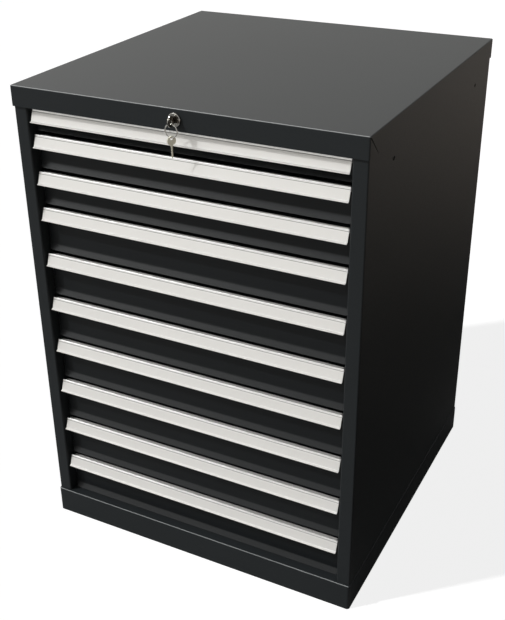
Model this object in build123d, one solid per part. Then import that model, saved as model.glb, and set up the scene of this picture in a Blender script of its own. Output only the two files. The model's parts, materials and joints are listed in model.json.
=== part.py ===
from build123d import *
import math
import os

# Drawer tool cabinet: a folded steel case on a plinth, ten full-extension drawers on roller slides,
# a central lock in the fascia that lifts a locking bar behind the drawers, and its key.
# Millimetres, +Z up. The origin is the centre of the footprint at floor level, the front faces -Y.
# Each piece is drawn with y measured back from the front plane of the lid and plinth, then moved.

# Overall sizes
CABINET_WIDTH = 717.0
CABINET_DEPTH = 725.0
LID_HEIGHT = 40.0
PLINTH_HEIGHT = 60.0

# Drawer heights, in steps of the slotted uprights
MODULE_STEP = 25.0
SHALLOW_STEPS = 2
LOW_STEPS = 3
STANDARD_STEPS = 4
LOW_COUNT = 2
STANDARD_COUNT = 7

# Case sheet metal
CASE_SHEET = 1.5
CASE_BEND = 3.0
LID_BEND = 2.2
CASE_GAP = 0.5
FASCIA_GAP = 2.3
FASCIA_FLANGE = 18.0
POST_FACE = 28.5
POST_RETURN = 26.0
REAR_FLANGE = 24.0
MITRE_TOP_WIDTH = 2.2
MITRE_LOW_WIDTH = 0.7
PLINTH_LEDGE = 40.0
PLINTH_FOOT = 30.0
PLINTH_CORNER = 6.0
BOTTOM_SETBACK = 32.0

# Holes in the plinth's foot for floor anchors
ANCHOR_HOLE_RADIUS = 4.5
ANCHOR_INSET = 18.0

# Holes in the sides for joining cabinets
LINK_HOLE_RADIUS = 4.0
LINK_HOLE_DROP = 75.0
LINK_HOLE_SETBACK = 124.0
LINK_HOLE_BACK_INSET = 107.0

# Screws that hold the back panel
SCREW_SHANK_RADIUS = 2.0
SCREW_HOLE_GAP = 0.2
SCREW_HEAD_RADIUS = 4.0
SCREW_HEAD_HEIGHT = 1.5
SCREW_LENGTH = 8.0
SCREW_INSET = 12.0
SCREW_END = 50.0
SCREW_ROWS = 5

# Drawer fronts
FRONT_SHEET = 1.5
FRONT_BEND = 2.5
FRONT_GAP = 2.0
PANEL_SETBACK = 28.0
PANEL_DROP = 10.0
TOP_RETURN = 16.0
FRONT_FLANGE = 18.0
LIP_HEIGHT = 10.0
LIP_REACH = 8.0
LIP_GAP = 2.0
LIP_BEND = 6.0
LIP_END_INSET = 5.0

# Handle extrusion, its outline given by setbacks from the front plane and drops from the drawer's top
HANDLE_WALL = 1.8
HANDLE_END_GAP = 3.0
HANDLE_NOTCH = 4.0
HANDLE_TOP_DROP = 5.0
HANDLE_LEG_DROP = 18.0
HANDLE_LEG_BEND = 2.5
HANDLE_BEAD_RADIUS = 1.7
HANDLE_BEAD_SETBACK = 14.0
HANDLE_FACE_SETBACK = 12.6
HANDLE_FACE_DROP = 12.0
HANDLE_LOW_SETBACK = 7.2
HANDLE_LOW_DROP = 27.6
HANDLE_TIP_SETBACK = 3.6
HANDLE_BOTTOM_DROP = 30.0
HANDLE_BEND = 5.0
HANDLE_TIP_BEND = 3.0
HANDLE_GROOVE_RADIUS = 0.8
HANDLE_GROOVE_DROP = 9.4

# Trays
TRAY_SHEET = 1.2
TRAY_LIFT = 4.0
TRAY_HEADROOM = 16.0
TRAY_CORNER = 4.0

# Roller slides
RAIL_SHEET = 1.5
RAIL_LIFT = 6.0
RAIL_HEIGHT = 30.0
CHANNEL_DEPTH = 13.3
RUNNING_GAP = 0.5
RAIL_SETBACK = 50.0
RAIL_BACK_INSET = 3.9
TRAY_CHANNEL_SETBACK = 32.0
TRAY_CHANNEL_BACK_INSET = 1.9
MIDDLE_PLATE = 2.0
MIDDLE_PLATE_HEIGHT = 24.0
ROLLER_GAP = 0.3
ROLLER_SIDE_GAP = 1.2
ROLLER_END = 20.0
ROLLER_SPACING = 240.0
PIN_RADIUS = 3.5
PIN_GAP = 0.05
PIN_HEAD_RADIUS = 5.5
PIN_HEAD = 1.0

# Slotted uprights
UPRIGHT_SHEET = 1.5
UPRIGHT_WIDTH = 36.0
UPRIGHT_DEPTH = 18.2
RAIL_NOSE = 12.0
RAIL_TAIL = 48.0
UPRIGHT_TOP_GAP = 5.0
LUG_WIDTH = 3.4
LUG_HEIGHT = 9.0
LUG_LENGTH = 4.2
LUG_GAP = 0.3

# Lock cylinder
LOCK_DROP = 19.0
BEZEL_RADIUS = 12.5
BEZEL_HEIGHT = 4.5
BEZEL_ROUND = 1.4
DISH_RADIUS = 9.8
DISH_FLOOR = 1.6
HOUSING_RADIUS = 9.5
HOUSING_LENGTH = 24.0
HOUSING_GAP = 0.1
NUT_FLATS = 24.0
NUT_HEIGHT = 5.0
PLUG_RADIUS = 6.5
PLUG_GAP = 0.05
PLUG_PROUD = 2.2
KEYWAY_GAP = 0.2

# Lock shaft, crank and locking bar
LOCK_TURN = 90.0
SHAFT_RADIUS = 4.0
SHAFT_GAP = 0.08
CRANK_RADIUS = 9.0
CRANK_HUB = 6.5
CRANK_EYE = 4.5
CRANK_THICKNESS = 4.0
CRANK_GAP = 1.0
CRANK_PIN_RADIUS = 2.5
CRANK_PIN_PROUD = 2.0
CRANK_SLOT_GAP = 0.6
BAR_WIDTH = 30.0
BAR_THICKNESS = 3.0
BAR_HEAD = 4.5
BAR_GAP = 6.0
BAR_BACK_SPACE = 52.6
FINGER_SHEET = 2.0
FINGER_WIDTH = 16.0
FINGER_LIFT = 3.0
FINGER_BEND = 2.8
FINGER_PLAY = 1.5
HOOK_SHEET = 1.5
HOOK_WIDTH = 26.0
HOOK_LIFT = 10.0
HOOK_REACH = 16.0
HOOK_PLAY = 1.8
HOOK_BEND = 2.3
GUIDE_SHEET = 3.0
GUIDE_MARGIN = 8.0
GUIDE_GAP = 0.4
GUIDE_RISE = 10.0
GUIDE_FLANGE = 24.0
GUIDE_EVERY = 3
BEARING_MARGIN = 9.0

# Key
KEY_THICKNESS = 2.2
KEY_BLADE_HEIGHT = 7.6
KEY_BLADE_LENGTH = 21.0
KEY_STOP = 0.3
KEY_NECK_HEIGHT = 11.0
BOW_RADIUS = 10.5
BOW_SETBACK = 14.5
BOW_HOLE_RADIUS = 3.5
BOW_HOLE_DROP = 2.0

# Heights derived from the steps
DRAWER_STEPS = [SHALLOW_STEPS] + LOW_COUNT * [LOW_STEPS] + STANDARD_COUNT * [STANDARD_STEPS]
DRAWER_MODULES = [steps * MODULE_STEP for steps in DRAWER_STEPS]
CABINET_HEIGHT = PLINTH_HEIGHT + sum(DRAWER_MODULES) + LID_HEIGHT
DRAWERS_TOP = CABINET_HEIGHT - LID_HEIGHT
LID_UNDER = CABINET_HEIGHT - CASE_SHEET

# Case places
LID_SIDE = CABINET_WIDTH / 2
SIDE_OUT = LID_SIDE - CASE_SHEET - CASE_GAP
SIDE_IN = SIDE_OUT - CASE_SHEET
OPENING_SIDE = SIDE_OUT - POST_FACE
POST_FRONT = CASE_SHEET + FASCIA_GAP
BACK_OUT = CABINET_DEPTH - CASE_SHEET - CASE_GAP
BACK_IN = BACK_OUT - CASE_SHEET
BOTTOM_TOP = PLINTH_HEIGHT + CASE_SHEET

# Slide places across the cabinet, from the side panel inwards to the tray
FIXED_BACK = SIDE_IN - UPRIGHT_DEPTH
FIXED_TIP = FIXED_BACK - CHANNEL_DEPTH
PLATE_OUT = FIXED_TIP - RUNNING_GAP
PLATE_IN = PLATE_OUT - MIDDLE_PLATE
TRAY_CHANNEL_TIP = PLATE_IN - RUNNING_GAP
TRAY_SIDE = TRAY_CHANNEL_TIP - CHANNEL_DEPTH
RAIL_MIDDLE = RAIL_LIFT + RAIL_HEIGHT / 2
ROLLER_RADIUS = RAIL_HEIGHT / 2 - RAIL_SHEET - ROLLER_GAP
ROLLER_SPACE = RUNNING_GAP + CHANNEL_DEPTH - RAIL_SHEET
ROLLER_WIDTH = ROLLER_SPACE - 2 * PIN_GAP - PIN_HEAD - ROLLER_SIDE_GAP

# Places along the depth, from the back panel forwards to the drawer fronts
BAR_BACK = BACK_IN - BAR_BACK_SPACE
BAR_FRONT = BAR_BACK - BAR_THICKNESS
HOOK_OUT = BAR_FRONT - BAR_GAP
TRAY_BACK = HOOK_OUT - HOOK_REACH
RAIL_END = TRAY_BACK - RAIL_BACK_INSET
TRAY_CHANNEL_END = TRAY_BACK - TRAY_CHANNEL_BACK_INSET
FRONT_UPRIGHT_SETBACK = RAIL_SETBACK + RAIL_NOSE
REAR_UPRIGHT_SETBACK = RAIL_END - RAIL_TAIL - UPRIGHT_WIDTH
UPRIGHT_SETBACKS = (FRONT_UPRIGHT_SETBACK, REAR_UPRIGHT_SETBACK)
LINK_HOLE_SETBACKS = (LINK_HOLE_SETBACK, CABINET_DEPTH - LINK_HOLE_BACK_INSET)

# Drawer places
FRONT_SIDE = OPENING_SIDE - FRONT_GAP
PANEL_BACK = PANEL_SETBACK + FRONT_SHEET
TRAY_INNER_WIDTH = 2 * (TRAY_SIDE - TRAY_SHEET)
TRAY_INNER_DEPTH = TRAY_BACK - PANEL_BACK - 2 * TRAY_SHEET

# Lock places
LOCK_HEIGHT = CABINET_HEIGHT - LOCK_DROP
HALF_TURN = math.radians(LOCK_TURN / 2)
CRANK_PIN_X = -CRANK_RADIUS * math.cos(HALF_TURN)
CRANK_PIN_DROP = CRANK_RADIUS * math.sin(HALF_TURN)
BAR_THROW = 2 * CRANK_PIN_DROP
BAR_X = (CRANK_PIN_X - CRANK_RADIUS) / 2
HOOK_LOW = FINGER_LIFT + FINGER_SHEET + BAR_THROW + HOOK_PLAY
FINGER_TOP = HOOK_LOW - HOOK_PLAY
HOOK_TOP = FINGER_TOP + BAR_THROW + HOOK_PLAY + HOOK_SHEET
CRANK_BACK = BAR_FRONT - CRANK_GAP
CRANK_FRONT = CRANK_BACK - CRANK_THICKNESS
BAR_TOP = LOCK_HEIGHT - CRANK_PIN_DROP + CRANK_PIN_RADIUS + CRANK_SLOT_GAP + BAR_HEAD
PLUG_BACK = HOUSING_LENGTH + CRANK_GAP

# Key place
KEY_FACE = -PLUG_PROUD - KEY_STOP


def block(x, y, z):
    """A box between the two values of each pair."""
    size = (x[1] - x[0], y[1] - y[0], z[1] - z[0])
    middle = ((x[0] + x[1]) / 2, (y[0] + y[1]) / 2, (z[0] + z[1]) / 2)
    return Pos(*middle) * Box(*size)


def across(face, x):
    """A section drawn in (y, z), extruded from x[0] to x[1]."""
    return Pos(x[0], 0, 0) * extrude(Plane.YZ * face, x[1] - x[0])


def upwards(face, z):
    """A section drawn in (x, y), extruded from z[0] to z[1]."""
    return Pos(0, 0, z[0]) * extrude(face, z[1] - z[0])


def backwards(face, y):
    """A section drawn in (x, z), extruded from y[0] to y[1]."""
    return Pos(0, y[1], 0) * extrude(Plane.XZ * face, y[1] - y[0])


def disc_x(y, z, radius, x):
    """A cylinder along X."""
    return across(Pos(y, z) * Circle(radius), x)


def disc_y(x, z, radius, y):
    """A cylinder along Y."""
    return backwards(Pos(x, z) * Circle(radius), y)


def folded(points, sheet, bends, side):
    """The section of a folded sheet: its outer line, rounded at the bends, and the sheet's thickness."""
    line = FilletPolyline(*points, radius=bends)
    skin = Wire(line.edges()).offset_2d(sheet, kind=Kind.INTERSECTION, side=side, closed=True)
    return make_face(skin)


def mirrored(shape):
    """The same piece on the other side of the cabinet."""
    return mirror(shape, about=Plane.YZ)


def module_bottoms():
    """The floor of each drawer's module, from the top drawer down."""
    bottoms = []
    level = DRAWERS_TOP
    for height in DRAWER_MODULES:
        level -= height
        bottoms.append(level)
    return bottoms


# Case

def side_panel():
    """The right side: rear flange, side, front post face and its return, folded from one sheet."""
    points = [
        (SIDE_OUT - REAR_FLANGE, BACK_IN),
        (SIDE_OUT, BACK_IN),
        (SIDE_OUT, POST_FRONT),
        (OPENING_SIDE, POST_FRONT),
        (OPENING_SIDE, POST_FRONT + POST_RETURN),
    ]
    sheet = upwards(folded(points, CASE_SHEET, CASE_BEND, Side.RIGHT), (PLINTH_HEIGHT, LID_UNDER))
    for setback in LINK_HOLE_SETBACKS:
        hole_x = (SIDE_IN - CASE_GAP, SIDE_OUT + CASE_GAP)
        sheet -= disc_x(setback, CABINET_HEIGHT - LINK_HOLE_DROP, LINK_HOLE_RADIUS, hole_x)
    for height in screw_heights():
        hole_y = (BACK_IN - 2 * CASE_SHEET, BACK_IN + CASE_SHEET)
        sheet -= disc_y(SIDE_OUT - SCREW_INSET, height, SCREW_SHANK_RADIUS + SCREW_HOLE_GAP, hole_y)
    return sheet


def screw_heights():
    """Heights of the back panel's screws."""
    low = PLINTH_HEIGHT + SCREW_END
    high = DRAWERS_TOP - SCREW_END
    return [low + i * (high - low) / (SCREW_ROWS - 1) for i in range(SCREW_ROWS)]


def screw_places():
    """The (x, z) of each back panel screw."""
    side = SIDE_OUT - SCREW_INSET
    return [(x, height) for x in (-side, side) for height in screw_heights()]


def cup(width, depth, height, bend, corner):
    """A block with rounded upright corners and a rounded top edge, standing on z = 0."""
    body = upwards(Pos(0, depth / 2) * RectangleRounded(width, depth, corner), (0, height))
    return fillet(body.faces().sort_by(Axis.Z)[-1].edges(), bend)


def hollow(corner, z):
    """The space inside the skirts of the lid or the walls of the plinth."""
    width = CABINET_WIDTH - 2 * CASE_SHEET
    depth = CABINET_DEPTH - 2 * CASE_SHEET
    outline = RectangleRounded(width, depth, corner - CASE_SHEET)
    return upwards(Pos(0, CABINET_DEPTH / 2) * outline, z)


def top_cover():
    """The lid: a top with four skirts, a flange under the fascia and mitred front corners."""
    lid = Pos(0, 0, DRAWERS_TOP) * cup(CABINET_WIDTH, CABINET_DEPTH, LID_HEIGHT, LID_BEND, CASE_BEND)
    lid -= hollow(CASE_BEND, (DRAWERS_TOP - CASE_SHEET, LID_UNDER))
    flange_side = OPENING_SIDE - CASE_GAP
    lid += block(
        (-flange_side, flange_side),
        (CASE_SHEET / 2, CASE_SHEET + FASCIA_FLANGE),
        (DRAWERS_TOP, DRAWERS_TOP + CASE_SHEET),
    )
    slit = across(mitre_slit(), (SIDE_OUT + CASE_GAP / 2, LID_SIDE + CASE_SHEET))
    lid -= slit
    lid -= mirrored(slit)
    hole_y = (-CASE_SHEET, 2 * CASE_SHEET)
    return lid - disc_y(0, LOCK_HEIGHT, HOUSING_RADIUS + HOUSING_GAP, hole_y)


def mitre_slit():
    """The open mitre at a front corner of the lid, in (y, z): a thin wedge down and back at 45 degrees."""
    half_top = MITRE_TOP_WIDTH / 2 * math.sqrt(2)
    half_low = MITRE_LOW_WIDTH / 2 * math.sqrt(2)
    start = CASE_BEND
    top = CABINET_HEIGHT - CASE_BEND
    end = start + LID_HEIGHT
    low = top - LID_HEIGHT
    return make_face(
        Polyline(
            (start + half_top, top), (end + half_low, low), (end - half_low, low), (start - half_top, top),
            close=True,
        )
    )


def back_panel():
    """The flat back, screwed on from behind."""
    side = SIDE_OUT - CASE_GAP
    panel = block((-side, side), (BACK_IN, BACK_OUT), (PLINTH_HEIGHT, LID_UNDER))
    for x, height in screw_places():
        hole_y = (BACK_IN - CASE_SHEET, BACK_OUT + CASE_SHEET)
        panel -= disc_y(x, height, SCREW_SHANK_RADIUS + SCREW_HOLE_GAP, hole_y)
    return panel


def back_panel_screws():
    """Pan-head screws through the back panel into the side panels' rear flanges."""
    screws = []
    for x, height in screw_places():
        head = disc_y(x, height, SCREW_HEAD_RADIUS, (BACK_OUT, BACK_OUT + SCREW_HEAD_HEIGHT))
        rim = head.faces().sort_by(Axis.Y)[-1].edges()
        head = fillet(rim, SCREW_HEAD_HEIGHT / 2)
        shank = disc_y(x, height, SCREW_SHANK_RADIUS, (BACK_OUT - SCREW_LENGTH, BACK_OUT))
        screws.append(head + shank)
    return Compound(screws)


def bottom_panel():
    """The floor of the case, on the plinth's ledge."""
    side = SIDE_IN - CASE_GAP
    return block((-side, side), (BOTTOM_SETBACK, BACK_IN - 2 * CASE_SHEET), (PLINTH_HEIGHT, BOTTOM_TOP))


def plinth():
    """The base: four walls, a ledge folded in at the top and a foot with anchor holes at the bottom."""
    body = cup(CABINET_WIDTH, CABINET_DEPTH, PLINTH_HEIGHT, LID_BEND, PLINTH_CORNER)
    body -= hollow(PLINTH_CORNER, (CASE_SHEET, PLINTH_HEIGHT - CASE_SHEET))
    for margin, z in ((PLINTH_LEDGE, PLINTH_HEIGHT), (PLINTH_FOOT, 0)):
        window = Rectangle(CABINET_WIDTH - 2 * margin, CABINET_DEPTH - 2 * margin)
        body -= upwards(Pos(0, CABINET_DEPTH / 2) * window, (z - 2 * CASE_SHEET, z + 2 * CASE_SHEET))
    for corner in GridLocations(CABINET_WIDTH - 2 * ANCHOR_INSET, CABINET_DEPTH - 2 * ANCHOR_INSET, 2, 2):
        hole = Pos(0, CABINET_DEPTH / 2) * corner * Circle(ANCHOR_HOLE_RADIUS)
        body -= upwards(hole, (-CASE_SHEET, 2 * CASE_SHEET))
    return body


# Slides

def channel_section(web, tip, bottom):
    """A C-section in (x, z): a web at x = web and two flanges that end at x = tip."""
    inward = RAIL_SHEET if tip > web else -RAIL_SHEET
    z = (bottom + RAIL_LIFT, bottom + RAIL_LIFT + RAIL_HEIGHT)
    low_x, high_x = sorted((web, tip))
    low_hollow, high_hollow = sorted((web + inward, tip + inward))
    outer = Pos((low_x + high_x) / 2, (z[0] + z[1]) / 2) * Rectangle(high_x - low_x, RAIL_HEIGHT)
    hollow = Rectangle(high_hollow - low_hollow, RAIL_HEIGHT - 2 * RAIL_SHEET)
    return outer - Pos((low_hollow + high_hollow) / 2, (z[0] + z[1]) / 2) * hollow


def fixed_rails():
    """The right side's fixed rails: C-channels open to the drawers, with lugs in the upright slots."""
    rails = []
    for bottom in module_bottoms():
        rail = backwards(channel_section(FIXED_BACK, FIXED_TIP, bottom), (RAIL_SETBACK, RAIL_END))
        for setback in UPRIGHT_SETBACKS:
            middle = setback + UPRIGHT_WIDTH / 2
            rail += block(
                (FIXED_BACK - RAIL_SHEET / 2, FIXED_BACK + LUG_LENGTH),
                (middle - LUG_WIDTH / 2, middle + LUG_WIDTH / 2),
                (bottom + RAIL_MIDDLE - LUG_HEIGHT / 2, bottom + RAIL_MIDDLE + LUG_HEIGHT / 2),
            )
        rails.append(rail)
    return Compound(rails)


def rail_uprights():
    """The right side's two slotted uprights, with a slot at each step below the last."""
    uprights = []
    height = (BOTTOM_TOP, DRAWERS_TOP - UPRIGHT_TOP_GAP)
    for setback in UPRIGHT_SETBACKS:
        y = (setback, setback + UPRIGHT_WIDTH)
        upright = block((FIXED_BACK, SIDE_IN), y, height)
        upright -= block(
            (FIXED_BACK + UPRIGHT_SHEET, SIDE_IN + UPRIGHT_SHEET),
            (y[0] + UPRIGHT_SHEET, y[1] - UPRIGHT_SHEET),
            (height[0] - UPRIGHT_SHEET, height[1] + UPRIGHT_SHEET),
        )
        middle = setback + UPRIGHT_WIDTH / 2
        slots = []
        for step in range(sum(DRAWER_STEPS) - 1):
            level = PLINTH_HEIGHT + RAIL_MIDDLE + step * MODULE_STEP
            slots.append(
                block(
                    (FIXED_BACK - UPRIGHT_SHEET, FIXED_BACK + 2 * UPRIGHT_SHEET),
                    (middle - LUG_WIDTH / 2 - LUG_GAP, middle + LUG_WIDTH / 2 + LUG_GAP),
                    (level - LUG_HEIGHT / 2 - LUG_GAP, level + LUG_HEIGHT / 2 + LUG_GAP),
                )
            )
        uprights.append(upright - slots)
    return Compound(uprights)


def roller(y, z, x):
    """A roller on an axle along X."""
    wheel = disc_x(y, z, ROLLER_RADIUS, x)
    return wheel - disc_x(y, z, PIN_RADIUS + PIN_GAP, x)


def middle_rails(bottom):
    """The left and right middle rails of one drawer: plates with rollers for both channels."""
    z = bottom + RAIL_MIDDLE
    plate = block(
        (PLATE_IN, PLATE_OUT),
        (RAIL_SETBACK, RAIL_END),
        (z - MIDDLE_PLATE_HEIGHT / 2, z + MIDDLE_PLATE_HEIGHT / 2),
    )
    pieces = []
    for i in range(2):
        fixed_y = RAIL_END - ROLLER_END - i * ROLLER_SPACING
        fixed_x = (PLATE_OUT + PIN_GAP, PLATE_OUT + PIN_GAP + ROLLER_WIDTH)
        fixed_end = fixed_x[1] + PIN_GAP
        plate += disc_x(fixed_y, z, PIN_RADIUS, (PLATE_IN, fixed_end))
        plate += disc_x(fixed_y, z, PIN_HEAD_RADIUS, (fixed_end, fixed_end + PIN_HEAD))
        pieces.append(roller(fixed_y, z, fixed_x))
        tray_y = RAIL_SETBACK + ROLLER_END + i * ROLLER_SPACING
        tray_x = (PLATE_IN - PIN_GAP - ROLLER_WIDTH, PLATE_IN - PIN_GAP)
        tray_end = tray_x[0] - PIN_GAP
        plate += disc_x(tray_y, z, PIN_RADIUS, (tray_end, PLATE_OUT))
        plate += disc_x(tray_y, z, PIN_HEAD_RADIUS, (tray_end - PIN_HEAD, tray_end))
        pieces.append(roller(tray_y, z, tray_x))
    pieces.append(plate)
    return Compound(pieces + [mirrored(piece) for piece in pieces])


# Drawers

def drawer_tray(bottom, module):
    """An open steel tray with a runner channel along each side and the lock's hook at the back."""
    z = (bottom + TRAY_LIFT, bottom + module - TRAY_HEADROOM)
    middle = (PANEL_BACK + TRAY_BACK) / 2
    outside = RectangleRounded(2 * TRAY_SIDE, TRAY_BACK - PANEL_BACK, TRAY_CORNER)
    inside = RectangleRounded(TRAY_INNER_WIDTH, TRAY_INNER_DEPTH, TRAY_CORNER - TRAY_SHEET)
    tray = upwards(Pos(0, middle) * outside, z)
    tray -= upwards(Pos(0, middle) * inside, (z[0] + TRAY_SHEET, z[1] + TRAY_SHEET))
    channel_y = (TRAY_CHANNEL_SETBACK, TRAY_CHANNEL_END)
    channel = backwards(channel_section(TRAY_SIDE, TRAY_CHANNEL_TIP, bottom), channel_y)
    return tray + channel + mirrored(channel) + lock_hook(bottom)


def lock_hook(bottom):
    """The hook on the tray's back that the locking bar's finger rises into."""
    points = [
        (TRAY_BACK, bottom + HOOK_LIFT),
        (TRAY_BACK, bottom + HOOK_TOP),
        (HOOK_OUT, bottom + HOOK_TOP),
        (HOOK_OUT, bottom + HOOK_LOW),
    ]
    section = folded(points, HOOK_SHEET, HOOK_BEND, Side.RIGHT)
    return across(section, (BAR_X - HOOK_WIDTH / 2, BAR_X + HOOK_WIDTH / 2))


def drawer_front(bottom, module):
    """A folded front: top return, recessed panel, forward lip with slanted ends, and side flanges."""
    top = bottom + module - PANEL_DROP
    lip_low = bottom + LIP_GAP
    lip_top = lip_low + LIP_HEIGHT
    points = [
        (PANEL_SETBACK + TOP_RETURN, top),
        (PANEL_SETBACK, top),
        (PANEL_SETBACK, lip_top),
        (PANEL_SETBACK - LIP_REACH, lip_low),
    ]
    section = folded(points, FRONT_SHEET, [FRONT_BEND, LIP_BEND], Side.LEFT)
    front = across(section, (-FRONT_SIDE, FRONT_SIDE))
    flange = block(
        (FRONT_SIDE - FRONT_SHEET, FRONT_SIDE),
        (PANEL_SETBACK + FRONT_SHEET / 2, PANEL_SETBACK + FRONT_FLANGE),
        (lip_top, top - FRONT_BEND),
    )
    front += flange
    front += mirrored(flange)
    corner = make_face(
        Polyline(
            (FRONT_SIDE, lip_top),
            (FRONT_SIDE - LIP_END_INSET, lip_low),
            (FRONT_SIDE - LIP_END_INSET, lip_low - LIP_HEIGHT),
            (FRONT_SIDE + LIP_END_INSET, lip_low - LIP_HEIGHT),
            (FRONT_SIDE + LIP_END_INSET, lip_top),
            close=True,
        )
    )
    cut = backwards(corner, (PANEL_SETBACK - 2 * LIP_REACH, PANEL_SETBACK + LIP_REACH))
    front -= cut
    return front - mirrored(cut)


def handle_section():
    """The handle's section in (y, z), z down from the drawer's top: leg, flange, bead, groove and face."""
    half = HANDLE_WALL / 2
    leg = PANEL_SETBACK - half
    bead = (HANDLE_BEAD_SETBACK + HANDLE_BEAD_RADIUS, -HANDLE_TOP_DROP - HANDLE_BEAD_RADIUS)
    top_line = FilletPolyline(
        (leg, -HANDLE_LEG_DROP),
        (leg, half - PANEL_DROP),
        bead,
        radius=HANDLE_LEG_BEND,
    )
    face_line = FilletPolyline(
        bead,
        (HANDLE_FACE_SETBACK + half, -HANDLE_FACE_DROP),
        (HANDLE_LOW_SETBACK + half, -HANDLE_LOW_DROP),
        (HANDLE_TIP_SETBACK + half, -HANDLE_BOTTOM_DROP + half),
        radius=[HANDLE_BEND, HANDLE_TIP_BEND],
    )
    tip = Pos(HANDLE_TIP_SETBACK + half, -HANDLE_BOTTOM_DROP + half) * Circle(half)
    skin = trace(top_line, line_width=HANDLE_WALL) + trace(face_line, line_width=HANDLE_WALL) + tip
    skin += Pos(*bead) * Circle(HANDLE_BEAD_RADIUS)
    groove_y = HANDLE_FACE_SETBACK + HANDLE_GROOVE_RADIUS / 2
    return skin - Pos(groove_y, -HANDLE_GROOVE_DROP) * Circle(HANDLE_GROOVE_RADIUS)


def drawer_handle(section, top):
    """The full-width handle, its leg on the panel's face and its flange notched at both ends."""
    length = FRONT_SIDE - HANDLE_END_GAP
    handle = across(section, (-length, length))
    notch = block(
        (length - HANDLE_NOTCH, length + HANDLE_NOTCH),
        (HANDLE_BEAD_SETBACK + 2 * HANDLE_BEAD_RADIUS, PANEL_SETBACK + HANDLE_WALL),
        (-HANDLE_LEG_DROP - HANDLE_WALL, 0),
    )
    handle -= notch
    return Pos(0, 0, top) * (handle - mirrored(notch))


# Lock

def lock_housing():
    """The lock's bezel and barrel, through the fascia."""
    bezel = disc_y(0, LOCK_HEIGHT, BEZEL_RADIUS, (-BEZEL_HEIGHT, 0))
    bezel = fillet(bezel.faces().sort_by(Axis.Y)[0].edges(), BEZEL_ROUND)
    barrel = disc_y(0, LOCK_HEIGHT, HOUSING_RADIUS, (0, HOUSING_LENGTH))
    dish = disc_y(0, LOCK_HEIGHT, DISH_RADIUS, (-2 * BEZEL_HEIGHT, -DISH_FLOOR))
    bore = disc_y(0, LOCK_HEIGHT, PLUG_RADIUS + PLUG_GAP, (-2 * BEZEL_HEIGHT, 2 * HOUSING_LENGTH))
    return bezel + barrel - dish - bore


def lock_nut():
    """The nut that clamps the housing behind the fascia."""
    hexagon = RegularPolygon(NUT_FLATS / 2, 6, major_radius=False)
    hexagon -= Circle(HOUSING_RADIUS + HOUSING_GAP / 2)
    return backwards(Pos(0, LOCK_HEIGHT) * hexagon, (CASE_SHEET, CASE_SHEET + NUT_HEIGHT))


def lock_plug():
    """The turning plug with its keyway."""
    plug = disc_y(0, LOCK_HEIGHT, PLUG_RADIUS, (-PLUG_PROUD, PLUG_BACK))
    half_width = KEY_THICKNESS / 2 + KEYWAY_GAP
    half_height = KEY_BLADE_HEIGHT / 2 + KEYWAY_GAP
    return plug - block(
        (-half_width, half_width),
        (-2 * PLUG_PROUD, KEY_FACE + KEY_BLADE_LENGTH + KEY_STOP),
        (LOCK_HEIGHT - half_height, LOCK_HEIGHT + half_height),
    )


def lock_shaft():
    """The long shaft from the plug to the back, with a crank arm and pin for the locking bar."""
    shaft = disc_y(0, LOCK_HEIGHT, SHAFT_RADIUS, (PLUG_BACK, CRANK_FRONT))
    pin_z = LOCK_HEIGHT - CRANK_PIN_DROP
    eye = Pos(CRANK_PIN_X, -CRANK_PIN_DROP) * Circle(CRANK_EYE)
    arm = make_hull(Circle(CRANK_HUB).edges() + eye.edges())
    crank = backwards(Pos(0, LOCK_HEIGHT) * arm, (CRANK_FRONT, CRANK_BACK))
    pin = disc_y(CRANK_PIN_X, pin_z, CRANK_PIN_RADIUS, (CRANK_BACK, BAR_BACK + CRANK_PIN_PROUD))
    return shaft + crank + pin


def locking_bar():
    """The bar behind the drawers, with the crank's slot and one upturned finger for each drawer."""
    x = (BAR_X - BAR_WIDTH / 2, BAR_X + BAR_WIDTH / 2)
    bar = block(x, (BAR_FRONT, BAR_BACK), (PLINTH_HEIGHT + FINGER_LIFT, BAR_TOP))
    half_slot = CRANK_PIN_RADIUS + CRANK_SLOT_GAP
    slot_z = LOCK_HEIGHT - CRANK_PIN_DROP
    bar -= block(
        (-CRANK_RADIUS - half_slot, CRANK_PIN_X + half_slot),
        (BAR_FRONT - BAR_THICKNESS, BAR_BACK + BAR_THICKNESS),
        (slot_z - half_slot, slot_z + half_slot),
    )
    tip = HOOK_OUT - HOOK_SHEET - FINGER_PLAY - FINGER_SHEET
    for bottom in module_bottoms():
        points = [
            (BAR_FRONT, bottom + FINGER_LIFT),
            (tip, bottom + FINGER_LIFT),
            (tip, bottom + FINGER_TOP),
        ]
        section = folded(points, FINGER_SHEET, FINGER_BEND, Side.RIGHT)
        bar += across(section, (BAR_X - FINGER_WIDTH / 2, BAR_X + FINGER_WIDTH / 2))
    return bar


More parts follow.
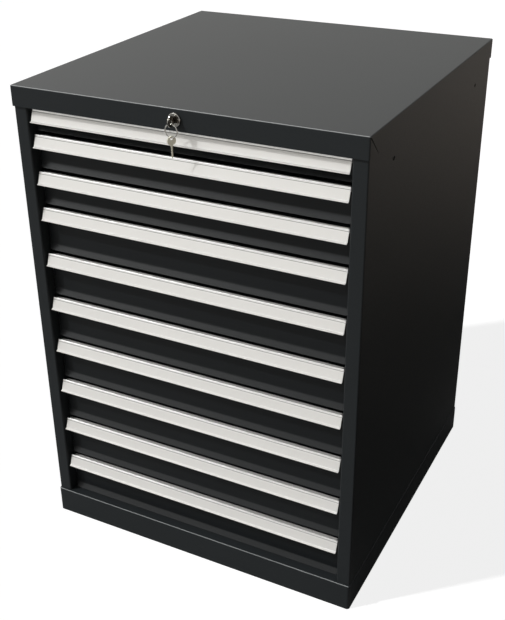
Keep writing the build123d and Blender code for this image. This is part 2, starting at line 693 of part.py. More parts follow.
def lock_bar_guides():
    """Slotted brackets behind every third standard drawer, and the shaft's bearing under the lid."""
    guides = []
    x = (BAR_X - BAR_WIDTH / 2 - GUIDE_MARGIN, BAR_X + BAR_WIDTH / 2 + GUIDE_MARGIN)
    lift = RAIL_LIFT + RAIL_HEIGHT + GUIDE_RISE
    for bottom in module_bottoms()[::-1][:STANDARD_COUNT:GUIDE_EVERY]:
        z = (bottom + lift, bottom + lift + GUIDE_SHEET)
        shelf = block(x, (BAR_FRONT - GUIDE_MARGIN, BACK_IN), z)
        shelf -= block(
            (BAR_X - BAR_WIDTH / 2 - GUIDE_GAP, BAR_X + BAR_WIDTH / 2 + GUIDE_GAP),
            (BAR_FRONT - GUIDE_GAP, BAR_BACK + GUIDE_GAP),
            (z[0] - GUIDE_SHEET, z[1] + GUIDE_SHEET),
        )
        guides.append(shelf + block(x, (BACK_IN - GUIDE_SHEET, BACK_IN), (z[1] - GUIDE_FLANGE, z[1])))
    side = SHAFT_RADIUS + BEARING_MARGIN
    plate_y = (CRANK_FRONT - CRANK_GAP - GUIDE_SHEET, CRANK_FRONT - CRANK_GAP)
    plate = block((-side, side), plate_y, (LOCK_HEIGHT - side, LID_UNDER))
    bore_y = (plate_y[0] - GUIDE_SHEET, plate_y[1] + GUIDE_SHEET)
    guides.append(plate - disc_y(0, LOCK_HEIGHT, SHAFT_RADIUS + SHAFT_GAP, bore_y))
    return Compound(guides)


# Key

def key():
    """The key in the lock, its bow upright in front of the fascia."""
    half = KEY_THICKNESS / 2
    blade = block(
        (-half, half),
        (KEY_FACE, KEY_FACE + KEY_BLADE_LENGTH),
        (LOCK_HEIGHT - KEY_BLADE_HEIGHT / 2, LOCK_HEIGHT + KEY_BLADE_HEIGHT / 2),
    )
    neck = block(
        (-half, half),
        (-BOW_SETBACK + BOW_RADIUS / 2, KEY_FACE),
        (LOCK_HEIGHT - KEY_NECK_HEIGHT / 2, LOCK_HEIGHT + KEY_NECK_HEIGHT / 2),
    )
    bow = disc_x(-BOW_SETBACK, LOCK_HEIGHT, BOW_RADIUS, (-half, half))
    hole = disc_x(-BOW_SETBACK, LOCK_HEIGHT - BOW_HOLE_DROP, BOW_HOLE_RADIUS, (-2 * half, 2 * half))
    return blade + neck + bow - hole


# Assembly

def cabinet_nodes():
    """Every piece by its node name, with y still measured from the front plane."""
    nodes = {
        "top_cover": top_cover(),
        "right_side_panel": side_panel(),
        "back_panel": back_panel(),
        "back_panel_screws": back_panel_screws(),
        "bottom_panel": bottom_panel(),
        "plinth": plinth(),
        "right_rail_uprights": rail_uprights(),
        "right_fixed_rails": fixed_rails(),
        "lock_housing": lock_housing(),
        "lock_nut": lock_nut(),
        "lock_plug": lock_plug(),
        "lock_shaft": lock_shaft(),
        "locking_bar": locking_bar(),
        "lock_bar_guides": lock_bar_guides(),
        "key": key(),
    }
    for name in ("side_panel", "rail_uprights", "fixed_rails"):
        nodes["left_" + name] = mirrored(nodes["right_" + name])
    section = handle_section()
    for number, (bottom, module) in enumerate(zip(module_bottoms(), DRAWER_MODULES), 1):
        drawer = f"drawer_{number:02d}"
        nodes[drawer + "_tray"] = drawer_tray(bottom, module)
        nodes[drawer + "_front"] = drawer_front(bottom, module)
        nodes[drawer + "_handle"] = drawer_handle(section, bottom + module)
        nodes[drawer + "_middle_rails"] = middle_rails(bottom)
    return nodes


os.makedirs("parts", exist_ok=True)
for node, shape in cabinet_nodes().items():
    export_step(Pos(0, -CABINET_DEPTH / 2, 0) * shape, f"parts/{node}.step")
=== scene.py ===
import json
import math

import bpy
from mathutils import Matrix, Vector


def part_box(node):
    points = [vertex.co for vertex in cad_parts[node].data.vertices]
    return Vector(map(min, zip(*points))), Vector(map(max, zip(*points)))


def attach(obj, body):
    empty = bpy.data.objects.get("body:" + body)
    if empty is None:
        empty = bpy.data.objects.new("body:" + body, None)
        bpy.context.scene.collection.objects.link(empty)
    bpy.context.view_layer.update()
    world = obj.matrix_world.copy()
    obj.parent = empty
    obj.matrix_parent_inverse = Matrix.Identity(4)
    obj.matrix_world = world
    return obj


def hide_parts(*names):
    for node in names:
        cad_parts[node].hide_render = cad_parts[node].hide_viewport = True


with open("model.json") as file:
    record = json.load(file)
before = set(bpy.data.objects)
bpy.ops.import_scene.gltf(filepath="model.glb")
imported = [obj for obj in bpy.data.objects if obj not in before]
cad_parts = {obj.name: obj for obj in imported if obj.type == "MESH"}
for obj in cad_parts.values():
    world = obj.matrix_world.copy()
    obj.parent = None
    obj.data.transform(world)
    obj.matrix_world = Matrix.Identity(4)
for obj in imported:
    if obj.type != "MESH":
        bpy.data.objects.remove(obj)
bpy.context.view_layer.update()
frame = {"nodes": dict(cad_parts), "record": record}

# The drawer tool cabinet's looks. Metres, in the frame's own axes: the fronts face -Y and +Z is up.
# A size whose name ends in MM is in millimetres, and mm() turns it into metres. Angles are in degrees.


def mm(value):
    return value / 1000.0


# Places taken from the frame
lid_low, lid_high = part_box("top_cover")
handle_low, handle_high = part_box("drawer_01_handle")
plug_low, plug_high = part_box("lock_plug")
front_y = lid_low.y
plinth_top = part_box("plinth")[1].z
lock_z = (plug_low.z + plug_high.z) / 2

# Powder coat: features per metre, how far its colour and gloss vary, and its bumps' strengths and heights
COAT_CLOUDS = 5.0
COAT_PEEL = 700.0
COAT_GRIT = 2600.0
COAT_DARKER = 0.93
COAT_LIGHTER = 1.07
COAT_GLOSS_STEP = 0.04
PEEL_STRENGTH = 0.25
PEEL_HEIGHT = 0.00006
GRIT_STRENGTH = 0.15
GRIT_HEIGHT = 0.00002
CASE_COLOUR = (0.0196, 0.0225, 0.0242)
CASE_GLOSS = 0.50
CASE_LEVEL = 0.20
# Drawer fronts: the case's anthracite painted darker, as the shade in their recesses under the handles
FRONT_SHADED_COLOUR = (0.0080, 0.0096, 0.0108)
FRONT_GLOSS = 0.43
FRONT_LEVEL = 0.30
TRAY_COLOUR = (0.30, 0.31, 0.31)
TRAY_GLOSS = 0.45
TRAY_LEVEL = 0.4

# Painted highlight on the front edges of the lid and the plinth, painted shade on the sides' edge under the
# lid, and how far all edges fade
EDGE_HIGHLIGHT_HEIGHT_MM = 1.1
EDGE_HIGHLIGHT_DEPTH_MM = 1.6
EDGE_HIGHLIGHT_GREY = (0.23, 0.24, 0.24)
LID_SHADE_BLACK = (0.001, 0.001, 0.001)
EDGE_FADE_MM = 0.25

# Handles: features per metre along the three axes, then the groove's painted shade and the smoother bead
# with its painted highlight, below the top
DIE_LINES = (2.0, 900.0, 900.0)
DIE_SCRATCHES = (8.0, 3500.0, 3500.0)
SATIN_CLOUDS = (3.0, 20.0, 20.0)
SATIN_DARK = (0.865, 0.855, 0.83)
SATIN_LIGHT = (0.915, 0.905, 0.88)
SATIN_SMOOTHEST = 0.56
SATIN_ROUGHEST = 0.66
SATIN_METAL = 0.55
DIE_STRENGTH = 0.12
LINE_HEIGHT = 0.00004
SCRATCH_HEIGHT = 0.00002
GRID_MM = 25.0
GROOVE_DROP_MM = 4.4
GROOVE_HALF_MM = 0.45
GROOVE_SHADE_GREY = (0.38, 0.38, 0.38)
BEAD_DROP_MM = 1.7
BEAD_HALF_MM = 1.7
BEAD_DEPTH_MM = 12.1
BEAD_HIGHLIGHT_WHITE = (0.97, 0.97, 0.96)
BEAD_GLOSS = 0.29

# Zinc plate and nickel plate
ZINC_SPANGLE = 160.0
SPANGLE_MIX = 3.0
ZINC_ROLLING = (700.0, 6.0, 700.0)
ZINC_DARK = (0.50, 0.51, 0.52)
ZINC_LIGHT = (0.66, 0.67, 0.68)
ZINC_SMOOTHEST = 0.28
ZINC_ROUGHEST = 0.42
ROLLING_HEIGHT = 0.00003
NICKEL_CLOUDS = 400.0
POLISHING_LINES = (9000.0, 900.0, 9000.0)
NICKEL_GLOSS_STEP = 0.06
POLISHING_HEIGHT = 0.00002
PLATE_STRENGTH = 0.1

# Key in the lock, with its place measured from the front plane, and the ring and the spare key on it
KEY_THICKNESS_MM = 2.2
KEY_SETBACK_MM = -14.5
KEY_BOW_RADIUS_MM = 10.4
KEY_RIM_MM = 1.9
KEY_WEB_MM = 1.5
KEY_HOLE_RADIUS_MM = 3.5
KEY_HOLE_DROP_MM = 2.0
KEY_SHOULDER_MM = -2.6
KEY_NECK_HALF_MM = 5.4
KEY_BLADE_HALF_MM = 3.7
KEY_TIP_MM = 18.4
RING_RADIUS_MM = 12.1
RING_WIRE_MM = 0.9
SPARE_BOW_RADIUS_MM = 8.4
SPARE_HOLE_RADIUS_MM = 2.6
SPARE_RIM_MM = 2.2
SPARE_SHOULDER_GAP_MM = 1.5
SPARE_NECK_HALF_MM = 2.2
SPARE_BLADE_HALF_MM = 1.6
SPARE_LENGTH_MM = 39.5
SPARE_TURN = 56.0

# Details that both keys share. The neck starts at a share of the bow's radius
LUG_RIM_MM = 1.4
NECK_START_SHARE = 0.55
BLADE_LAP_MM = 0.4
BEVEL_STEPS = 2
EDGE_BEVEL_MM = 0.3
WEB_BEVEL_MM = 0.1
BLADE_BEVEL_MM = 0.15
RIDGE_BEVEL_MM = 0.2

# Cuts in a blade: their depths, and each cut's parts as shares of the step from one cut to the next
KEY_CUTS_MM = [0.15, 0.9, 0.45, 1.6, 0.7, 1.2, 0.3]
CUT_EDGE_MM = 0.1
CUT_START_SHARE = 0.15
CUT_SLOPE_SHARE = 0.35
CUT_FLOOR_SHARE = 0.65

# Ridges along a blade: their places across it, and how far before its tip their corners end
LOW_RIDGE_MM = (1.9, 3.2)
LOW_RIDGE_ENDS_MM = (1.5, 1.0)
HIGH_RIDGE_MM = 1.6
HIGH_RIDGE_ENDS_MM = (2.0, 2.6)

# Split ring: its turns, its steps along and round the wire, where it starts and how sharply it crosses over
RING_TURNS = 2.0
RING_STEPS = 160
WIRE_SIDES = 10
RING_START_RADIANS = 1.2
RING_CROSSING = 12.0

# Floor, and a cloth on it that soft light and reflections see, but not the camera
FLOOR_REACH = 30.0
FLOOR_GREY = (0.32, 0.32, 0.32)
FLOOR_LIFT = 0.86
MATT_ROUGHNESS = 0.5
FLAG_REACH = 8.0
FLAG_HEIGHT = 0.001
FLAG_NEAR = 1.5
FLAG_FAR = 3.8
FLAG_DARK = (0.016, 0.013, 0.010)
FLAG_LIGHT = (0.50, 0.43, 0.37)
FLAG_FRONT = (0.40, 0.395, 0.385)
FLAG_LEFT_EDGE = 0.30
FLAG_RIGHT_EDGE = 0.60

# Room: strengths, and the parts of the direction's X or Z over which they fade
WHITE = (1.0, 1.0, 1.0)
WARM_ROOM = (1.0, 0.985, 0.945)
WORLD_LEFT = 0.76
WORLD_RIGHT = 0.08
WORLD_FADE = (-0.3, 0.6)
WORLD_CEILING = 0.8
CEILING_FADE = (0.3, 0.85)
WORLD_GLOSS_RIGHT = 0.3
WALL_FADE = (-0.1, 0.4)

# Lamps: the one that lights the paint, a broad one from the same side for gloss, and the rim lamp
SUN_STRENGTH = 2.2
SUN_ELEVATION = 43.3
SUN_AZIMUTH = -48.0
SUN_SPREAD = 2.0
GLOSS_STRENGTH = 0.58
GLOSS_SPREAD = 20.0
RIM_STRENGTH = 3.6
RIM_ELEVATION = 56.0
RIM_AZIMUTH = -118.0
RIM_SPREAD = 6.0

# Camera, at the photograph's viewing angle. Its focal length and middle are in the photograph's pixels
CAMERA_PLACE = Vector((0.8798, -1.7864, 1.5044))
CAMERA_FORWARD = Vector((-0.4140, 0.7834, -0.4635))
CAMERA_RIGHT = Vector((0.8875, 0.4607, -0.0139))
SENSOR_MM = 36.0
PHOTO_WIDTH = 505
PHOTO_HEIGHT = 620
FOCAL_PIXELS = 998.5
PRINCIPAL_X = 243.0
PRINCIPAL_Y = 298.2


# Helpers for nodes

def clean_material(name):
    """An empty node material, and its tree."""
    material = bpy.data.materials.new(name)
    material.use_nodes = True
    tree = material.node_tree
    tree.nodes.clear()
    return material, tree


def input_of(node, key):
    """A node's input by its name, or by its number where the key is an n and digits."""
    if key[0] == "n" and key[1:].isdigit():
        return node.inputs[int(key[1:])]
    return node.inputs[key.replace("_", " ")]


def add(tree, kind, settings=None, **inputs):
    """A node with its settings and inputs. An input is a value or another node's output."""
    node = tree.nodes.new(kind)
    for key, value in (settings or {}).items():
        setattr(node, key, value)
    for key, value in inputs.items():
        socket = input_of(node, key)
        if isinstance(value, bpy.types.NodeSocket):
            tree.links.new(value, socket)
        else:
            socket.default_value = value
    return node


def computed(tree, operation, first, second):
    """The result of one Math node."""
    return add(tree, "ShaderNodeMath", {"operation": operation}, n0=first, n1=second).outputs[0]


def object_place(tree):
    """The place of a point in its object, which for a frame node is its place in the frame."""
    return tree.nodes.new("ShaderNodeTexCoord").outputs["Object"]


def along(tree, place, axis):
    """One coordinate of a place."""
    return add(tree, "ShaderNodeSeparateXYZ", Vector=place).outputs[axis]


def noise(tree, place, scale, detail=2.0):
    """A noise pattern at a scale in features per metre."""
    return add(tree, "ShaderNodeTexNoise", Vector=place, Scale=scale, Detail=detail).outputs["Fac"]


def streaks(tree, scale):
    """A noise pattern with its own scale along each axis."""
    place = add(tree, "ShaderNodeMapping", Vector=object_place(tree), Scale=scale).outputs["Vector"]
    return noise(tree, place, 1.0)


def spread(tree, pattern, low, high, start=0.3, end=0.7):
    """A pattern's values from start to end, mapped to low to high."""
    node = add(
        tree, "ShaderNodeMapRange", Value=pattern, From_Min=start, From_Max=end, To_Min=low, To_Max=high
    )
    return node.outputs["Result"]


def past(tree, value, edge, before=0.0, after=1.0):
    """One share before an edge and another past it, with a short fade."""
    return spread(tree, value, before, after, edge, edge + mm(EDGE_FADE_MM))


# A Mix node has its share at input 0, its numbers at 2 and 3 and its colours at 6 and 7

def tinted(tree, pattern, dark, light):
    """A colour between two, by a pattern."""
    mix = add(tree, "ShaderNodeMix", {"data_type": "RGBA"}, n0=pattern, n6=(*dark, 1.0), n7=(*light, 1.0))
    return mix.outputs[2]


def blended(tree, colour, share, other):
    """A colour moved towards a fixed one by a share."""
    result = tinted(tree, share, other, other)
    tree.links.new(colour, result.node.inputs[6])
    return result


def bumped(tree, layers):
    """A normal from several patterns, each with its strength and its height in metres."""
    normal = None
    for pattern, strength, height in layers:
        bump = add(tree, "ShaderNodeBump", Height=pattern, Strength=strength, Distance=height)
        if normal is not None:
            tree.links.new(normal, bump.inputs["Normal"])
        normal = bump.outputs["Normal"]
    return normal


def finish_surface(tree, colour, roughness, normal, **others):
    """Adds the surface shader and the output. Others are further inputs by name."""
    shader = add(
        tree, "ShaderNodeBsdfPrincipled", Base_Color=colour, Roughness=roughness, Normal=normal, **others
    )
    add(tree, "ShaderNodeOutputMaterial", Surface=shader.outputs["BSDF"])


# Materials

def edge_highlight_share(tree, place, top):
    """1 on the rounded front edge below a top, where a lighter grey is painted on as the edge's highlight.
    """
    high_part = past(tree, along(tree, place, "Z"), top - mm(EDGE_HIGHLIGHT_HEIGHT_MM))
    front_part = past(tree, along(tree, place, "Y"), front_y + mm(EDGE_HIGHLIGHT_DEPTH_MM), 1.0, 0.0)
    return computed(tree, "MULTIPLY", high_part, front_part)


def powder_coat(name, colour, gloss, level, highlight_top=None, shaded_under_lid=False):
    """Powder coat: fine orange peel, with slight clouds in its colour and gloss.

    Below a given top its front edge gets a painted highlight in lighter grey, and on the sides what the lid
    hides is painted black as shade.
    """
    material, tree = clean_material(name)
    place = object_place(tree)
    clouds = noise(tree, place, COAT_CLOUDS, detail=3.0)
    peel = noise(tree, place, COAT_PEEL)
    grit = noise(tree, place, COAT_GRIT, detail=1.0)
    dark = tuple(COAT_DARKER * part for part in colour)
    light = tuple(COAT_LIGHTER * part for part in colour)
    coat = tinted(tree, clouds, dark, light)
    if highlight_top is not None:
        # Painted highlight: a lighter grey on the rounded front edge, standing in for its gloss
        coat = blended(tree, coat, edge_highlight_share(tree, place, highlight_top), EDGE_HIGHLIGHT_GREY)
    # Painted shade: black with no gloss on the sides above the lid's lower edge, seen in the slits at the
    # lid's corners
    if shaded_under_lid:
        painted_shade = past(tree, along(tree, place, "Z"), lid_low.z)
        coat = blended(tree, coat, painted_shade, LID_SHADE_BLACK)
        level = spread(tree, painted_shade, level, 0.0, start=0.0, end=1.0)
    finish_surface(
        tree,
        coat,
        spread(tree, peel, gloss - COAT_GLOSS_STEP, gloss + COAT_GLOSS_STEP),
        bumped(tree, [(peel, PEEL_STRENGTH, PEEL_HEIGHT), (grit, GRIT_STRENGTH, GRIT_HEIGHT)]),
        Specular_IOR_Level=level,
    )
    return material


def band(tree, height, drop, half):
    """1 in a level band below each handle's top, 0 elsewhere. The handles stand on one grid of heights."""
    above = computed(tree, "SUBTRACT", height, handle_high.z - mm(drop))
    away = computed(tree, "PINGPONG", above, mm(GRID_MM / 2))
    return past(tree, away, mm(half), 1.0, 0.0)


def extruded_aluminium(name):
    """Satin anodised extrusion: fine die lines along the length, a smoother, fully metallic bead lightened
    as a painted highlight, and a groove darkened as painted shade.
    """
    material, tree = clean_material(name)
    lines = streaks(tree, DIE_LINES)
    scratches = streaks(tree, DIE_SCRATCHES)
    satin = tinted(tree, streaks(tree, SATIN_CLOUDS), SATIN_DARK, SATIN_LIGHT)
    place = object_place(tree)
    height = along(tree, place, "Z")
    groove_shade = band(tree, height, GROOVE_DROP_MM, GROOVE_HALF_MM)
    round_part = band(tree, height, BEAD_DROP_MM, BEAD_HALF_MM)
    front_part = past(tree, along(tree, place, "Y"), handle_low.y + mm(BEAD_DEPTH_MM), 1.0, 0.0)
    bead = computed(tree, "MULTIPLY", round_part, front_part)
    # Partly a painted highlight: besides its smoother, fully metallic finish, the bead's colour is raised
    # near white for its bright line
    highlit_satin = blended(tree, satin, bead, BEAD_HIGHLIGHT_WHITE)
    satin_gloss = spread(tree, scratches, SATIN_SMOOTHEST, SATIN_ROUGHEST)
    gloss = add(tree, "ShaderNodeMix", {"data_type": "FLOAT"}, n0=bead, n2=satin_gloss, n3=BEAD_GLOSS)
    finish_surface(
        tree,
        # Painted shade: the groove's line is darkened grey
        blended(tree, highlit_satin, groove_shade, GROOVE_SHADE_GREY),
        gloss.outputs[0],
        bumped(tree, [(lines, DIE_STRENGTH, LINE_HEIGHT), (scratches, DIE_STRENGTH, SCRATCH_HEIGHT)]),
        Metallic=spread(tree, bead, SATIN_METAL, 1.0, start=0.0, end=1.0),
    )
    return material


def zinc_plate(name):
    """Zinc plated sheet: a faint spangle and rolling marks."""
    material, tree = clean_material(name)
    cells = add(tree, "ShaderNodeTexVoronoi", Vector=object_place(tree), Scale=ZINC_SPANGLE).outputs["Color"]
    spangle = noise(tree, cells, SPANGLE_MIX, detail=1.0)
    finish_surface(
        tree,
        tinted(tree, spangle, ZINC_DARK, ZINC_LIGHT),
        spread(tree, spangle, ZINC_SMOOTHEST, ZINC_ROUGHEST),
        bumped(tree, [(streaks(tree, ZINC_ROLLING), PLATE_STRENGTH, ROLLING_HEIGHT)]),
        Metallic=1.0,
    )
    return material


def nickel(name, dark, light, gloss, metal=1.0):
    """Nickel plate or nickel silver with fine polishing lines."""
    material, tree = clean_material(name)
    clouds = noise(tree, object_place(tree), NICKEL_CLOUDS)
    lines = streaks(tree, POLISHING_LINES)
    finish_surface(
        tree,
        tinted(tree, clouds, dark, light),
        spread(tree, lines, gloss - NICKEL_GLOSS_STEP, gloss + NICKEL_GLOSS_STEP),
        bumped(tree, [(lines, PLATE_STRENGTH, POLISHING_HEIGHT)]),
        Metallic=metal,
    )
    return material


lock_nickel = nickel("lock_nickel", dark=(0.26, 0.255, 0.24), light=(0.62, 0.61, 0.58), gloss=0.12)
# The plug: the lock's nickel painted near black as the shade in its dish
plug_shaded_nickel = nickel("plug_shaded_nickel", dark=(0.05, 0.048, 0.043), light=(0.16, 0.155, 0.14), gloss=0.14)
ring_nickel = nickel("ring_nickel", dark=(0.56, 0.55, 0.52), light=(0.70, 0.69, 0.66), gloss=0.22)
key_nickel = nickel("key_nickel", dark=(0.74, 0.72, 0.60), light=(0.90, 0.88, 0.76), gloss=0.42, metal=0.6)
# The key in the lock: nickel silver like the spare key, painted much darker as the shade on its side
shaded_key_nickel = nickel("shaded_key_nickel", dark=(0.13, 0.127, 0.115), light=(0.36, 0.35, 0.32), gloss=0.20)
side_paint_shaded = powder_coat("side_paint_shaded", CASE_COLOUR, CASE_GLOSS, CASE_LEVEL, shaded_under_lid=True)

SLOT_LOOKS = {
    "case_paint": powder_coat("case_paint", CASE_COLOUR, CASE_GLOSS, CASE_LEVEL),
    "front_paint": powder_coat("front_paint", FRONT_SHADED_COLOUR, FRONT_GLOSS, FRONT_LEVEL),
    "tray_paint": powder_coat("tray_paint", TRAY_COLOUR, TRAY_GLOSS, TRAY_LEVEL),
    "handle_aluminium": extruded_aluminium("handle_aluminium"),
    "slide_steel": zinc_plate("slide_zinc"),
    "lock_nickel": lock_nickel,
    "key_nickel": key_nickel,
}
NODE_LOOKS = {
    "lock_plug": plug_shaded_nickel,
    "right_side_panel": side_paint_shaded,
    "left_side_panel": side_paint_shaded,
    "top_cover": powder_coat("lid_paint", CASE_COLOUR, CASE_GLOSS, CASE_LEVEL, highlight_top=lid_high.z),
    "plinth": powder_coat("plinth_paint", CASE_COLOUR, CASE_GLOSS, CASE_LEVEL, highlight_top=plinth_top),
}
for subpart in frame["record"]["subparts"]:
    looks = NODE_LOOKS.get(subpart["node"], SLOT_LOOKS[subpart["material_slot"]])
    for slot in frame["nodes"][subpart["node"]].material_slots:
        slot.material = looks


# Helpers for shapes

def from_faces(name, points, faces, material):
    """An object from its points and faces, with one material."""
    mesh = bpy.data.meshes.new(name)
    mesh.from_pydata(points, [], faces)
    mesh.update()
    mesh.materials.append(material)
    thing = bpy.data.objects.new(name, mesh)
    bpy.context.scene.collection.objects.link(thing)
    return thing


def circle_points(centre, radius, count=48):
    """Points round a circle."""
    points = []
    for i in range(count):
        angle = math.tau * i / count
        points.append((centre[0] + radius * math.cos(angle), centre[1] + radius * math.sin(angle)))
    return points


def plate(outlines, thickness, bevel):
    """A flat plate with rounded edges, drawn in (x, y) in millimetres. Inner outlines are holes."""
    curve = bpy.data.curves.new("outline", "CURVE")
    curve.dimensions = "2D"
    curve.fill_mode = "BOTH"
    curve.extrude = mm(thickness / 2 - bevel)
    curve.bevel_depth = mm(bevel)
    curve.bevel_resolution = BEVEL_STEPS
    curve.offset = -mm(bevel)
    for points in outlines:
        spline = curve.splines.new("POLY")
        spline.points.add(len(points) - 1)
        spline.use_cyclic_u = True
        for point, (x, y) in zip(spline.points, points):
            point.co = (mm(x), mm(y), 0.0, 1.0)
    drawn = bpy.data.objects.new("outline", curve)
    mesh = bpy.data.meshes.new_from_object(drawn)
    bpy.data.objects.remove(drawn)
    return mesh


def joined(name, meshes, matrix, material):
    """One object from several meshes, moved by a matrix into the frame."""
    points = []
    faces = []
    for mesh in meshes:
        start = len(points)
        points += [matrix @ vertex.co for vertex in mesh.vertices]
        faces += [[start + index for index in face.vertices] for face in mesh.polygons]
    return from_faces(name, points, faces, material)


# Keys

def blade_outline(shoulder, blade, tip):
    """A blade's outline, with its cuts on the -x side."""
    step = (shoulder - tip - blade) / len(KEY_CUTS_MM)
    edge = [(-blade, shoulder + BLADE_LAP_MM)]
    for i, depth in enumerate(KEY_CUTS_MM):
        top = shoulder - (i + CUT_START_SHARE) * step
        edge.append((-blade + CUT_EDGE_MM, top))
        edge.append((-blade + depth, top - CUT_SLOPE_SHARE * step))
        edge.append((-blade + depth, top - CUT_FLOOR_SHARE * step))
    edge += [(-blade, tip + blade), (-blade / 3, tip), (blade / 3, tip), (blade, tip + blade)]
    edge.append((blade, shoulder + BLADE_LAP_MM))
    return edge


def ridge(left, right, top, left_end, right_end):
    """A raised strip along a blade."""
    outline = [(left, top), (left, left_end), (right, right_end), (right, top)]
    return plate([outline], KEY_THICKNESS_MM, RIDGE_BEVEL_MM)


def key_meshes(bow_radius, hole_radius, hole_place, shoulder, neck, blade, tip):
    """A key lying in (x, y), its blade along -y: rimmed bow, neck, and a grooved blade with its cuts."""
    centre = (0, 0)
    hole = circle_points(hole_place, hole_radius)
    lug = circle_points(hole_place, hole_radius + LUG_RIM_MM)
    rim = [circle_points(centre, bow_radius), circle_points(centre, bow_radius - KEY_RIM_MM)]
    web = [circle_points(centre, bow_radius - KEY_RIM_MM / 2), hole]
    neck_top = -bow_radius * NECK_START_SHARE
    neck_outline = [(-neck, neck_top), (-neck, shoulder), (neck, shoulder), (neck, neck_top)]
    lap = shoulder + BLADE_LAP_MM
    low_left, low_right = LOW_RIDGE_MM
    low_left_end, low_right_end = LOW_RIDGE_ENDS_MM
    high_left_end, high_right_end = HIGH_RIDGE_ENDS_MM
    return [
        plate(rim, KEY_THICKNESS_MM, EDGE_BEVEL_MM),
        plate(web, KEY_WEB_MM, WEB_BEVEL_MM),
        plate([lug, hole], KEY_THICKNESS_MM, EDGE_BEVEL_MM),
        plate([neck_outline], KEY_THICKNESS_MM, EDGE_BEVEL_MM),
        plate([blade_outline(shoulder, blade, tip)], KEY_WEB_MM, BLADE_BEVEL_MM),
        ridge(-blade + low_left, -blade + low_right, lap, tip + low_left_end, tip + low_right_end),
        ridge(blade - HIGH_RIDGE_MM, blade, lap, tip + high_left_end, tip + high_right_end),
    ]


def ring_section(centre, share):
    """The points round the flattened wire, at a share of the ring's length."""
    broad = mm(RING_WIRE_MM)
    flat = broad / 2
    angle = math.tau * RING_TURNS * share + RING_START_RADIANS
    crossing = min(max((share - 0.5) * RING_CROSSING, -1.0), 1.0)
    outward = Vector((math.cos(angle), 0.0, math.sin(angle)))
    middle = centre + mm(RING_RADIUS_MM) * outward + Vector((0.0, flat * crossing, 0.0))
    points = []
    for j in range(WIRE_SIDES):
        turn = math.tau * j / WIRE_SIDES
        points.append(middle + broad * math.cos(turn) * outward + Vector((0.0, flat * math.sin(turn), 0.0)))
    return points


def split_ring(name, centre, material):
    """A split ring: two turns of flattened wire side by side, with a small step from one to the other."""
    points = ring_section(centre, 0.0)
    faces = []
    for i in range(RING_STEPS):
        points += ring_section(centre, (i + 1) / RING_STEPS)
        here = i * WIRE_SIDES
        beyond = here + WIRE_SIDES
        for j in range(WIRE_SIDES):
            following = (j + 1) % WIRE_SIDES
            faces.append([here + j, here + following, beyond + following, beyond + j])
    last = RING_STEPS * WIRE_SIDES
    faces.append(list(range(WIRE_SIDES))[::-1])
    faces.append(list(range(last, last + WIRE_SIDES)))
    ring = from_faces(name, points, faces, material)
    ring.data.polygons.foreach_set("use_smooth", [True] * len(faces))
    return ring


# The lock's key lies in the plane x = 0: its own -y is the frame's +y, and its own x is the frame's -z
bow_centre = Vector((0.0, front_y + mm(KEY_SETBACK_MM), lock_z))
key_turn = Matrix(((0, 0, 1), (0, -1, 0), (-1, 0, 0))).to_4x4()
key_piece = joined(
    "key_in_lock",
    key_meshes(
        bow_radius=KEY_BOW_RADIUS_MM,
        hole_radius=KEY_HOLE_RADIUS_MM,
        hole_place=(KEY_HOLE_DROP_MM, 0.0),
        shoulder=KEY_SETBACK_MM - KEY_SHOULDER_MM,
        neck=KEY_NECK_HALF_MM,
        blade=KEY_BLADE_HALF_MM,
        tip=KEY_SETBACK_MM - KEY_TIP_MM,
    ),
    Matrix.Translation(bow_centre) @ key_turn,
    shaded_key_nickel,
)
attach(key_piece, "key")
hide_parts("key")

# The ring hangs in the bow's hole, and the spare key hangs in the ring
ring_top = lock_z - mm(KEY_HOLE_DROP_MM + KEY_HOLE_RADIUS_MM - RING_WIRE_MM)
ring_centre = Vector((0.0, bow_centre.y, ring_top - mm(RING_RADIUS_MM)))
ring = split_ring("key_ring", ring_centre, ring_nickel)
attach(ring, "key")

spare_hole_z = ring_centre.z - mm(RING_RADIUS_MM - RING_WIRE_MM + SPARE_HOLE_RADIUS_MM)
spare_bow_z = spare_hole_z + mm(SPARE_HOLE_RADIUS_MM + SPARE_RIM_MM - SPARE_BOW_RADIUS_MM)
spare_turn = Matrix.Rotation(math.radians(SPARE_TURN), 4, "Z") @ Matrix.Rotation(math.radians(90), 4, "X")
spare = joined(
    "spare_key",
    key_meshes(
        bow_radius=SPARE_BOW_RADIUS_MM,
        hole_radius=SPARE_HOLE_RADIUS_MM,
        hole_place=(0.0, SPARE_BOW_RADIUS_MM - SPARE_HOLE_RADIUS_MM - SPARE_RIM_MM),
        shoulder=-SPARE_BOW_RADIUS_MM - SPARE_SHOULDER_GAP_MM,
        neck=SPARE_NECK_HALF_MM,
        blade=SPARE_BLADE_HALF_MM,
        tip=SPARE_BOW_RADIUS_MM - SPARE_LENGTH_MM,
    ),
    Matrix.Translation((0.0, bow_centre.y, spare_bow_z)) @ spare_turn,
    key_nickel,
)
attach(spare, "key")


# Stage

def level_square(name, reach, height, material):
    """A level square about the origin, which isn't part of the object."""
    corners = [(x * reach, y * reach, height) for x, y in ((-1, -1), (1, -1), (1, 1), (-1, 1))]
    square = from_faces(name, corners, [(0, 1, 2, 3)], material)
    return square


def seen_directly(tree, strength):
    """A strength for camera, glossy and transmission rays, and none for the rest."""
    path = tree.nodes.new("ShaderNodeLightPath")
    seen = path.outputs["Is Camera Ray"]
    for kind in ("Is Glossy Ray", "Is Transmission Ray"):
        seen = computed(tree, "MAXIMUM", seen, path.outputs[kind])
    return computed(tree, "MULTIPLY", seen, strength)


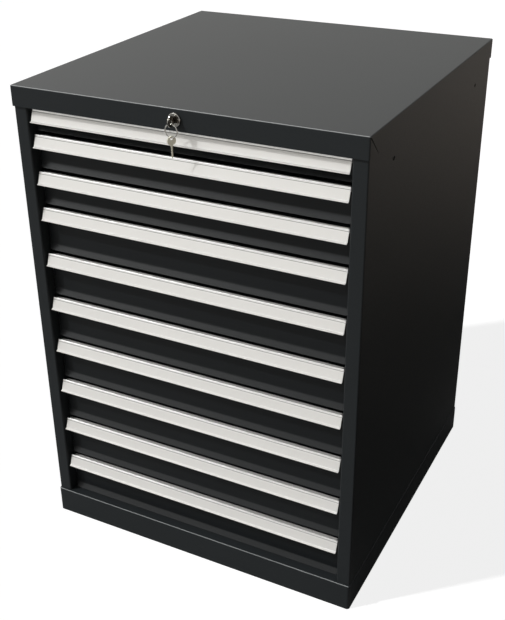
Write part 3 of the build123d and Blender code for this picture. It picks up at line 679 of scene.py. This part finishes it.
def floor_white():
    """A pale matt floor, lifted towards white for the eye and for gloss. It keeps the shadow."""
    material, tree = clean_material("floor_white")
    matt = add(tree, "ShaderNodeBsdfDiffuse", Color=(*FLOOR_GREY, 1.0), Roughness=MATT_ROUGHNESS)
    lift = add(tree, "ShaderNodeEmission", Strength=seen_directly(tree, FLOOR_LIFT))
    surface = add(tree, "ShaderNodeAddShader", n0=matt.outputs[0], n1=lift.outputs[0])
    add(tree, "ShaderNodeOutputMaterial", Surface=surface.outputs[0])
    return material


def flag_cloth():
    """A cloth on the floor: grey, but right of the cabinet it is dark nearby and paler far off."""
    material, tree = clean_material("flag_cloth")
    place = object_place(tree)
    away = add(tree, "ShaderNodeVectorMath", {"operation": "LENGTH"}, n0=place).outputs["Value"]
    right = tinted(tree, spread(tree, away, 0.0, 1.0, FLAG_NEAR, FLAG_FAR), FLAG_DARK, FLAG_LIGHT)
    side = spread(tree, along(tree, place, "X"), 0.0, 1.0, FLAG_LEFT_EDGE, FLAG_RIGHT_EDGE)
    colour = tinted(tree, side, FLAG_FRONT, FLAG_DARK)
    tree.links.new(right, colour.node.inputs[7])
    matt = add(tree, "ShaderNodeBsdfDiffuse", Color=colour, Roughness=MATT_ROUGHNESS)
    add(tree, "ShaderNodeOutputMaterial", Surface=matt.outputs[0])
    return material


level_square("floor", FLOOR_REACH, 0.0, floor_white())
flag = level_square("floor_flag", FLAG_REACH, FLAG_HEIGHT, flag_cloth())
flag.visible_camera = False
flag.visible_shadow = False


# Light

def world_light():
    """White to the eye, and to gloss a warm white room that is dimmer overhead and on the right.

    Its soft light comes from the left, and less from the right.
    """
    world = bpy.data.worlds.new("studio")
    world.use_nodes = True
    tree = world.node_tree
    tree.nodes.clear()
    direction = tree.nodes.new("ShaderNodeTexCoord").outputs["Generated"]
    side = along(tree, direction, "X")
    height = along(tree, direction, "Z")
    eye = tree.nodes.new("ShaderNodeLightPath").outputs["Is Camera Ray"]
    level = spread(tree, side, WORLD_LEFT, WORLD_RIGHT, *WORLD_FADE)
    ceiling = spread(tree, height, 1.0, WORLD_CEILING, *CEILING_FADE)
    wall = spread(tree, side, 1.0, WORLD_GLOSS_RIGHT, *WALL_FADE)
    room = computed(tree, "MULTIPLY", ceiling, wall)
    bright = computed(tree, "MAXIMUM", room, eye)
    soft = add(tree, "ShaderNodeBackground", Color=(*WHITE, 1.0), Strength=level)
    white = add(tree, "ShaderNodeBackground", Color=tinted(tree, eye, WARM_ROOM, WHITE), Strength=bright)
    seen = seen_directly(tree, 1.0)
    mixed = add(tree, "ShaderNodeMixShader", n0=seen, n1=soft.outputs[0], n2=white.outputs[0])
    add(tree, "ShaderNodeOutputWorld", Surface=mixed.outputs[0])
    bpy.context.scene.world = world


def sun_light(name, strength, elevation, azimuth, spread_angle):
    """A far lamp. Its azimuth is measured from the front, to the right."""
    lamp = bpy.data.lights.new(name, "SUN")
    lamp.energy = strength
    lamp.angle = math.radians(spread_angle)
    height = math.radians(elevation)
    side = math.radians(azimuth)
    level = math.cos(height)
    source = Vector((level * math.sin(side), -level * math.cos(side), math.sin(height)))
    thing = bpy.data.objects.new(name, lamp)
    thing.rotation_euler = source.to_track_quat("Z", "Y").to_euler()
    bpy.context.scene.collection.objects.link(thing)
    return thing


world_light()
key_light = sun_light("key_light", SUN_STRENGTH, SUN_ELEVATION, SUN_AZIMUTH, SUN_SPREAD)
key_light.visible_glossy = False
gloss_light = sun_light("gloss_light", GLOSS_STRENGTH, SUN_ELEVATION, SUN_AZIMUTH, GLOSS_SPREAD)
gloss_light.visible_diffuse = False
rim_light = sun_light("rim_light", RIM_STRENGTH, RIM_ELEVATION, RIM_AZIMUTH, RIM_SPREAD)
rim_light.visible_diffuse = False


# Camera

def photo_camera():
    """The camera that looks from the photograph's point of view."""
    lens = bpy.data.cameras.new("camera")
    lens.sensor_width = SENSOR_MM
    lens.lens = FOCAL_PIXELS / PHOTO_HEIGHT * SENSOR_MM
    lens.shift_x = (PHOTO_WIDTH / 2 - PRINCIPAL_X) / PHOTO_HEIGHT
    lens.shift_y = (PRINCIPAL_Y - PHOTO_HEIGHT / 2) / PHOTO_HEIGHT
    forward = CAMERA_FORWARD.normalized()
    right = (CAMERA_RIGHT - CAMERA_RIGHT.dot(forward) * forward).normalized()
    up = right.cross(forward)
    camera = bpy.data.objects.new("camera", lens)
    turned = Matrix((right, up, -forward)).transposed().to_4x4()
    camera.matrix_world = Matrix.Translation(CAMERA_PLACE) @ turned
    bpy.context.scene.collection.objects.link(camera)
    bpy.context.scene.camera = camera


photo_camera()
bpy.context.scene.view_settings.view_transform = "Standard"
